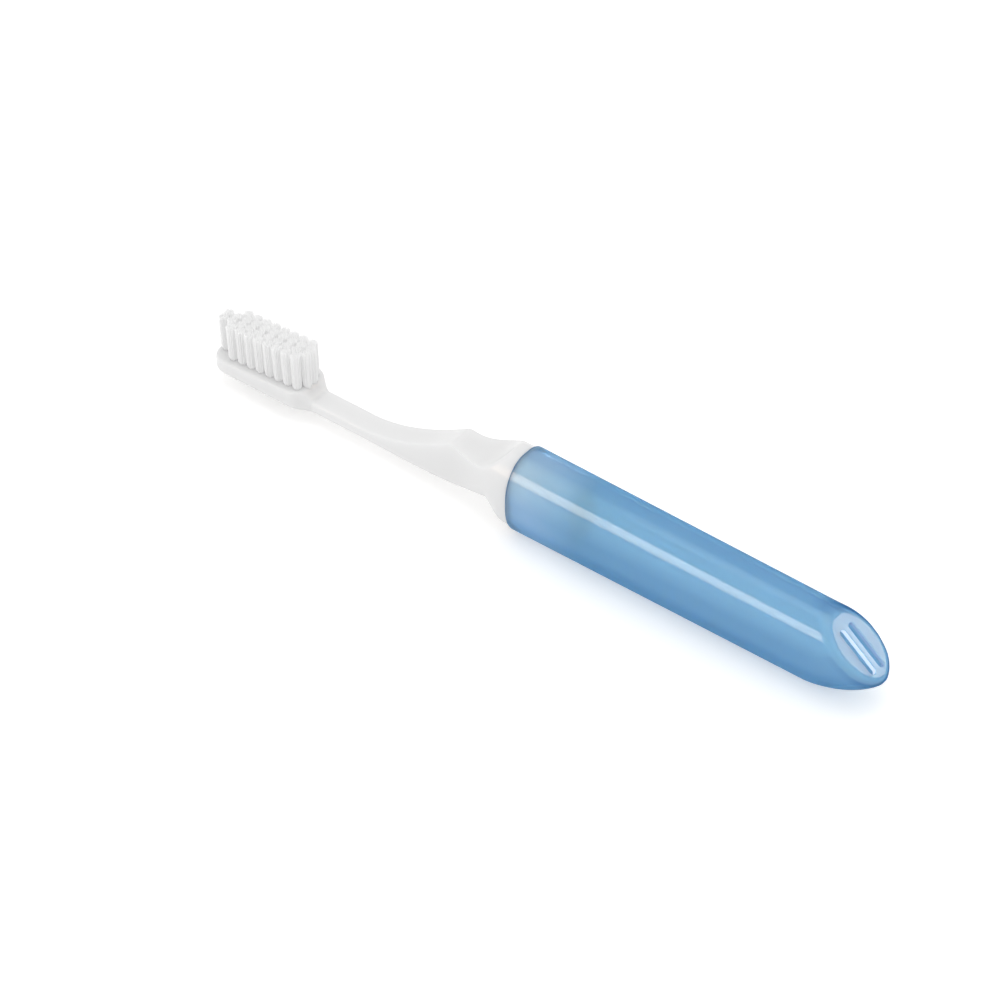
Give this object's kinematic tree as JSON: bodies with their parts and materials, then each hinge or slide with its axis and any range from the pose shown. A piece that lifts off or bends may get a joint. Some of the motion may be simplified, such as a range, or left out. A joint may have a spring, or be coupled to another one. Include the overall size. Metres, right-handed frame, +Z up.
{
  "type": "travel toothbrush",
  "caption": "Manual travel toothbrush: a short white brush whose oval plug sits in the mouth of a long translucent blue case tube that serves as its handle.",
  "frame": {"origin": "under the middle of the toothbrush, on the surface that the case tube rests on", "axes": "+X along the case tube's axis from the bristles to the nose, +Y across, +Z up, the way the bristles point"},
  "size_m": [0.179, 0.015, 0.0204],
  "materials": {
    "case_plastic": "translucent blue, polished",
    "brush_plastic": "frosted white, fine satin",
    "bristle_nylon": "translucent white filament",
    "anchor_metal": "drawn flat wire"
  },
  "bodies": {
    "case": {"case_tube": "case_plastic"},
    "brush": {"brush_body": "brush_plastic", "tuft_anchors": "anchor_metal", "tuft_row1_1": "bristle_nylon", "tuft_row1_2": "bristle_nylon", "tuft_row1_3": "bristle_nylon", "tuft_row1_4": "bristle_nylon", "tuft_row1_5": "bristle_nylon", "tuft_row1_6": "bristle_nylon", "tuft_row1_7": "bristle_nylon", "tuft_row1_8": "bristle_nylon", "tuft_row2_1": "bristle_nylon", "tuft_row2_2": "bristle_nylon", "tuft_row2_3": "bristle_nylon", "tuft_row2_4": "bristle_nylon", "tuft_row2_5": "bristle_nylon", "tuft_row2_6": "bristle_nylon", "tuft_row2_7": "bristle_nylon", "tuft_row2_8": "bristle_nylon", "tuft_row2_9": "bristle_nylon", "tuft_row2_10": "bristle_nylon", "tuft_row3_1": "bristle_nylon", "tuft_row3_2": "bristle_nylon", "tuft_row3_3": "bristle_nylon", "tuft_row3_4": "bristle_nylon", "tuft_row3_5": "bristle_nylon", "tuft_row3_6": "bristle_nylon", "tuft_row3_7": "bristle_nylon", "tuft_row3_8": "bristle_nylon", "tuft_row3_9": "bristle_nylon", "tuft_row3_10": "bristle_nylon", "tuft_row4_1": "bristle_nylon", "tuft_row4_2": "bristle_nylon", "tuft_row4_3": "bristle_nylon", "tuft_row4_4": "bristle_nylon", "tuft_row4_5": "bristle_nylon", "tuft_row4_6": "bristle_nylon", "tuft_row4_7": "bristle_nylon", "tuft_row4_8": "bristle_nylon"}
  },
  "joints": [
    {"name": "brush_slide", "type": "slide", "parent": "case", "child": "brush", "axis": [-1, 0, 0], "range_m": [0, 0.015]}
  ]
}
